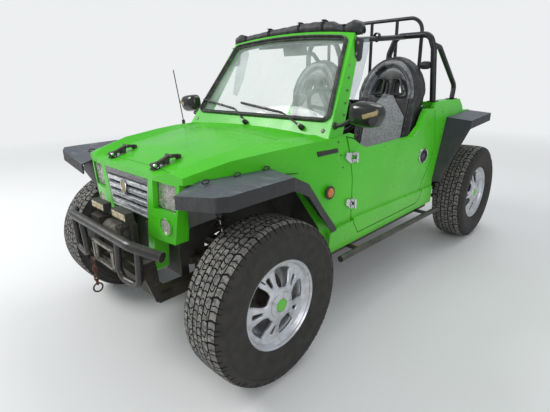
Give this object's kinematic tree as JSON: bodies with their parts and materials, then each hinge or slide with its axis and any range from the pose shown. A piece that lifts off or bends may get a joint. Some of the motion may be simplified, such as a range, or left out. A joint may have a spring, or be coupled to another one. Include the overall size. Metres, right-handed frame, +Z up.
{
  "type": "utility terrain vehicle",
  "caption": "Open two-seat off-road vehicle with moulded body, half doors, roll hoops, short cargo bed, bull bar, winch, fender flares, treaded tyres and steered front wheels.",
  "frame": {"origin": "on the ground, under the middle of the overall length and width", "axes": "+X forward, +Y to the left, +Z up"},
  "size_m": [3.109, 1.65, 1.6614],
  "materials": {
    "green_paint": "gloss lime-green gel coat, dusty low down",
    "black_steel": "satin black powder coat",
    "frame_steel": "matt black chassis paint",
    "bare_steel": "plain and machined steel",
    "silver_alloy": "silver painted cast alloy",
    "tyre": "dusty tread rubber",
    "rubber": "moulded black rubber",
    "black_plastic": "moulded black plastic",
    "flare_plastic": "weathered textured black plastic",
    "chrome": "bright plate",
    "clear_glass": "clear laminated glass",
    "lamp_lens": "clear lamp lens over reflector",
    "red_lens": "red moulded lens",
    "seat_fabric": "grey and black woven seat cloth",
    "soft_top_cloth": "rolled black coated cloth",
    "engine_block": "plain cast block"
  },
  "bodies": {
    "vehicle": {"antenna": "black_plastic", "bull_bar": "black_steel", "chain": "bare_steel", "chassis": "frame_steel", "coilovers": "bare_steel", "dashboard": "black_plastic", "door_hinges": "chrome", "engine": "engine_block", "fairlead": "bare_steel", "flare_front_left": "flare_plastic", "flare_front_right": "flare_plastic", "flare_rear_left": "flare_plastic", "flare_rear_right": "flare_plastic", "floor": "black_plastic", "front_body": "green_paint", "front_lamps": "lamp_lens", "grille": "bare_steel", "inner_mirror": "black_plastic", "levers": "black_plastic", "light_bar": "black_plastic", "mirror_left": "black_plastic", "mirror_right": "black_plastic", "radiator": "bare_steel", "rear_body": "green_paint", "rear_bumper": "black_steel", "rear_rack": "black_steel", "roll_cage": "black_steel", "seat_left": "seat_fabric", "seat_right": "seat_fabric", "side_steps": "black_steel", "sills": "green_paint", "soft_top": "soft_top_cloth", "steering_column": "black_plastic", "suspension_front": "frame_steel", "suspension_rear": "frame_steel", "tail_lamps": "red_lens", "winch": "black_plastic", "windshield_frame": "green_paint", "windshield_glass": "clear_glass", "wipers": "black_plastic"},
    "hood_panel": {"hood": "green_paint", "hood_latches": "rubber"},
    "left_door": {"door_left": "green_paint", "door_fittings_left": "chrome"},
    "right_door": {"door_right": "green_paint", "door_fittings_right": "chrome"},
    "tail_gate": {"tailgate": "green_paint"},
    "left_knuckle": {"knuckle_left": "bare_steel"},
    "right_knuckle": {"knuckle_right": "bare_steel"},
    "steering_link": {"tie_rods": "bare_steel"},
    "steering_hand_wheel": {"steering_wheel": "black_plastic"},
    "front_left_wheel": {"tyre_front_left": "tyre", "wheel_front_left": "silver_alloy"},
    "front_right_wheel": {"tyre_front_right": "tyre", "wheel_front_right": "silver_alloy"},
    "rear_left_wheel": {"tyre_rear_left": "tyre", "wheel_rear_left": "silver_alloy"},
    "rear_right_wheel": {"tyre_rear_right": "tyre", "wheel_rear_right": "silver_alloy"}
  },
  "joints": [
    {"name": "hood_hinge", "type": "hinge", "parent": "vehicle", "child": "hood_panel", "pos_m": [0.7795, 0, 1.016], "axis": [0, -1, 0], "range_deg": [0, 60]},
    {"name": "left_door_hinge", "type": "hinge", "parent": "vehicle", "child": "left_door", "pos_m": [0.4015, 0.624, 0.62], "axis": [0, 0, -1], "range_deg": [0, 65]},
    {"name": "right_door_hinge", "type": "hinge", "parent": "vehicle", "child": "right_door", "pos_m": [0.4015, -0.624, 0.62], "axis": [0, 0, 1], "range_deg": [0, 65]},
    {"name": "tail_gate_hinge", "type": "hinge", "parent": "vehicle", "child": "tail_gate", "pos_m": [-1.1835, 0, 0.812], "axis": [0, -1, 0], "range_deg": [0, 90]},
    {"name": "left_steer", "type": "hinge", "parent": "vehicle", "child": "left_knuckle", "pos_m": [1.1015, 0.534, 0.3665], "axis": [0, 0, 1], "range_deg": [-30, 30]},
    {"name": "right_steer", "type": "hinge", "parent": "vehicle", "child": "right_knuckle", "pos_m": [1.1015, -0.534, 0.3665], "axis": [0, 0, 1], "range_deg": [-30, 30]},
    {"name": "rack_slide", "type": "slide", "parent": "vehicle", "child": "steering_link", "axis": [0, 1, 0], "range_m": [-0.064, 0.064]},
    {"name": "steering_turn", "type": "hinge", "parent": "vehicle", "child": "steering_hand_wheel", "pos_m": [0.1715, 0.27, 1.075], "axis": [-0.8157, 0, 0.5784], "range_deg": [-455, 455]},
    {"name": "front_left_roll", "type": "hinge", "parent": "left_knuckle", "child": "front_left_wheel", "pos_m": [1.1015, 0.644, 0.3665], "axis": [0, 1, 0], "continuous": true},
    {"name": "front_right_roll", "type": "hinge", "parent": "right_knuckle", "child": "front_right_wheel", "pos_m": [1.1015, -0.644, 0.3665], "axis": [0, 1, 0], "continuous": true},
    {"name": "rear_left_roll", "type": "hinge", "parent": "vehicle", "child": "rear_left_wheel", "pos_m": [-1.1625, 0.644, 0.3665], "axis": [0, 1, 0], "continuous": true},
    {"name": "rear_right_roll", "type": "hinge", "parent": "vehicle", "child": "rear_right_wheel", "pos_m": [-1.1625, -0.644, 0.3665], "axis": [0, 1, 0], "continuous": true}
  ],
  "couplings": [
    {"joint": "right_steer", "follows": "left_steer", "ratio": 1},
    {"joint": "rack_slide", "follows": "left_steer", "m_per_rad": -0.12},
    {"joint": "steering_turn", "follows": "left_steer", "ratio": 15}
  ]
}
